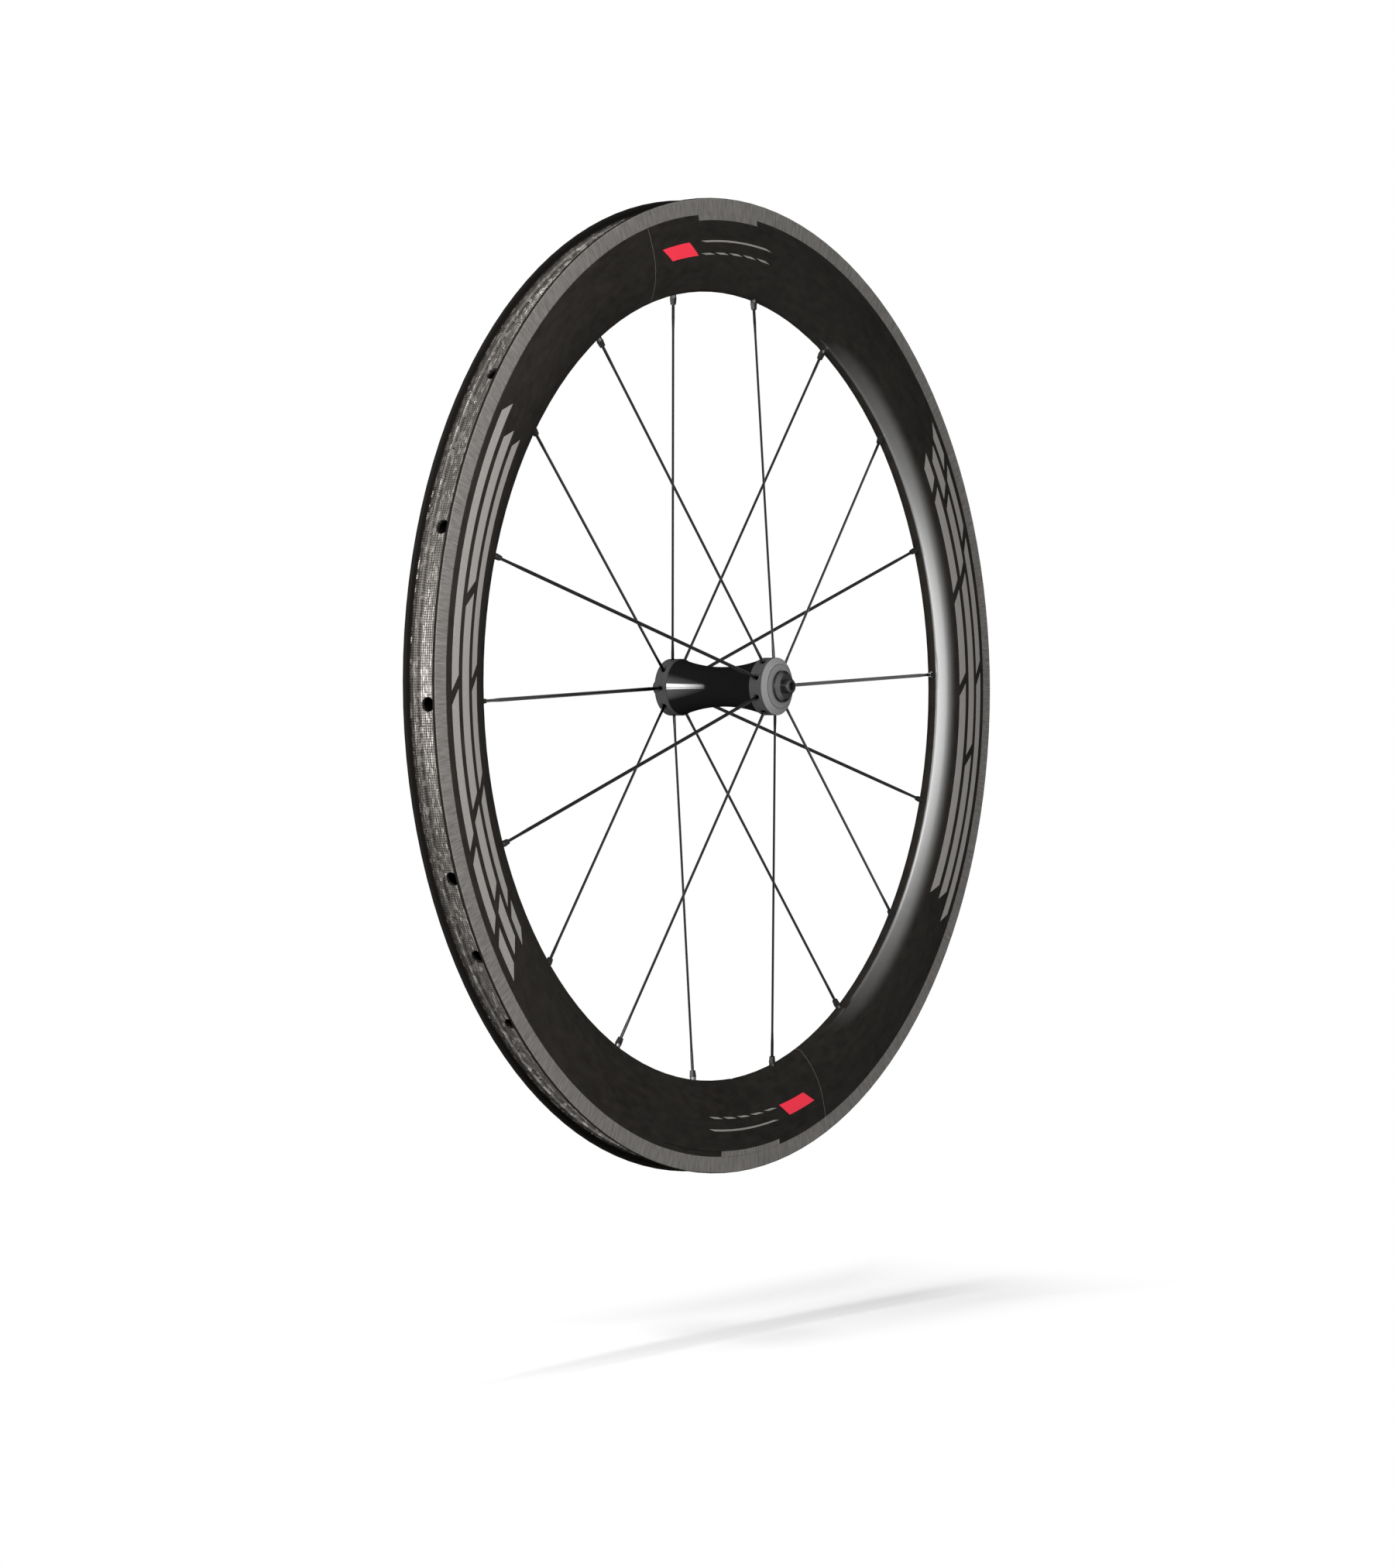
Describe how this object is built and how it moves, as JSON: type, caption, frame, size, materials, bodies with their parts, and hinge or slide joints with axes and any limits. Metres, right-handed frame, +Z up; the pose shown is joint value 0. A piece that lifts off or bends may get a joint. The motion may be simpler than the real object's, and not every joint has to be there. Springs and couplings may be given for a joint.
{
  "type": "bicycle wheel",
  "caption": "Front bicycle wheel with a deep hollow hooked rim, radial straight-pull bladed spokes and a waisted hub that turns on sealed bearings, for rim brakes.",
  "frame": {"origin": "centre of the wheel, on its axle and in the rim's middle plane", "axes": "+Y along the axle, away from the pictured side; +Z up; +X to the right as pictured"},
  "size_m": [0.633, 0.108, 0.633],
  "materials": {
    "rim_carbon": "matte carbon laminate, lighter textured brake tracks, woven tyre bed",
    "hub_alloy": "black anodised, glossy waist and satin grey flanges",
    "axle_alloy": "plain turned",
    "nipple_alloy": "black anodised",
    "spoke_steel": "drawn steel with a dark oxide coat",
    "bearing_steel": "ground",
    "cage_plastic": "moulded",
    "seal_rubber": "moulded",
    "dust_cap_alloy": "satin grey anodised",
    "end_cap_alloy": "glossy black anodised"
  },
  "bodies": {
    "axle": {"axle": "axle_alloy", "end_cap_near": "end_cap_alloy", "end_cap_far": "end_cap_alloy", "end_cap_o_ring_near": "seal_rubber", "end_cap_o_ring_far": "seal_rubber", "bearing_inner_race_near": "bearing_steel", "bearing_inner_race_far": "bearing_steel"},
    "wheel": {"rim": "rim_carbon", "hub_shell": "hub_alloy", "spoke_nipples": "nipple_alloy", "spoke_01": "spoke_steel", "spoke_02": "spoke_steel", "spoke_03": "spoke_steel", "spoke_04": "spoke_steel", "spoke_05": "spoke_steel", "spoke_06": "spoke_steel", "spoke_07": "spoke_steel", "spoke_08": "spoke_steel", "spoke_09": "spoke_steel", "spoke_10": "spoke_steel", "spoke_11": "spoke_steel", "spoke_12": "spoke_steel", "spoke_13": "spoke_steel", "spoke_14": "spoke_steel", "spoke_15": "spoke_steel", "spoke_16": "spoke_steel", "spoke_17": "spoke_steel", "spoke_18": "spoke_steel", "dust_cap_near": "dust_cap_alloy", "dust_cap_far": "dust_cap_alloy", "bearing_outer_race_near": "bearing_steel", "bearing_outer_race_far": "bearing_steel", "bearing_inner_seal_near": "seal_rubber", "bearing_inner_seal_far": "seal_rubber", "bearing_outer_seal_near": "seal_rubber", "bearing_outer_seal_far": "seal_rubber"},
    "ball_set_near": {"bearing_balls_near": "bearing_steel", "bearing_cage_near": "cage_plastic"},
    "ball_set_far": {"bearing_balls_far": "bearing_steel", "bearing_cage_far": "cage_plastic"}
  },
  "joints": [
    {"name": "wheel_spin", "type": "hinge", "parent": "axle", "child": "wheel", "pos_m": [0, 0, 0], "axis": [0, 1, 0], "continuous": true},
    {"name": "ball_set_near_spin", "type": "hinge", "parent": "axle", "child": "ball_set_near", "pos_m": [0, -0.0404, 0], "axis": [0, 1, 0], "continuous": true},
    {"name": "ball_set_far_spin", "type": "hinge", "parent": "axle", "child": "ball_set_far", "pos_m": [0, 0.0404, 0], "axis": [0, 1, 0], "continuous": true}
  ],
  "couplings": [
    {"joint": "ball_set_near_spin", "follows": "wheel_spin", "ratio": 0.58532},
    {"joint": "ball_set_far_spin", "follows": "wheel_spin", "ratio": 0.58532}
  ]
}
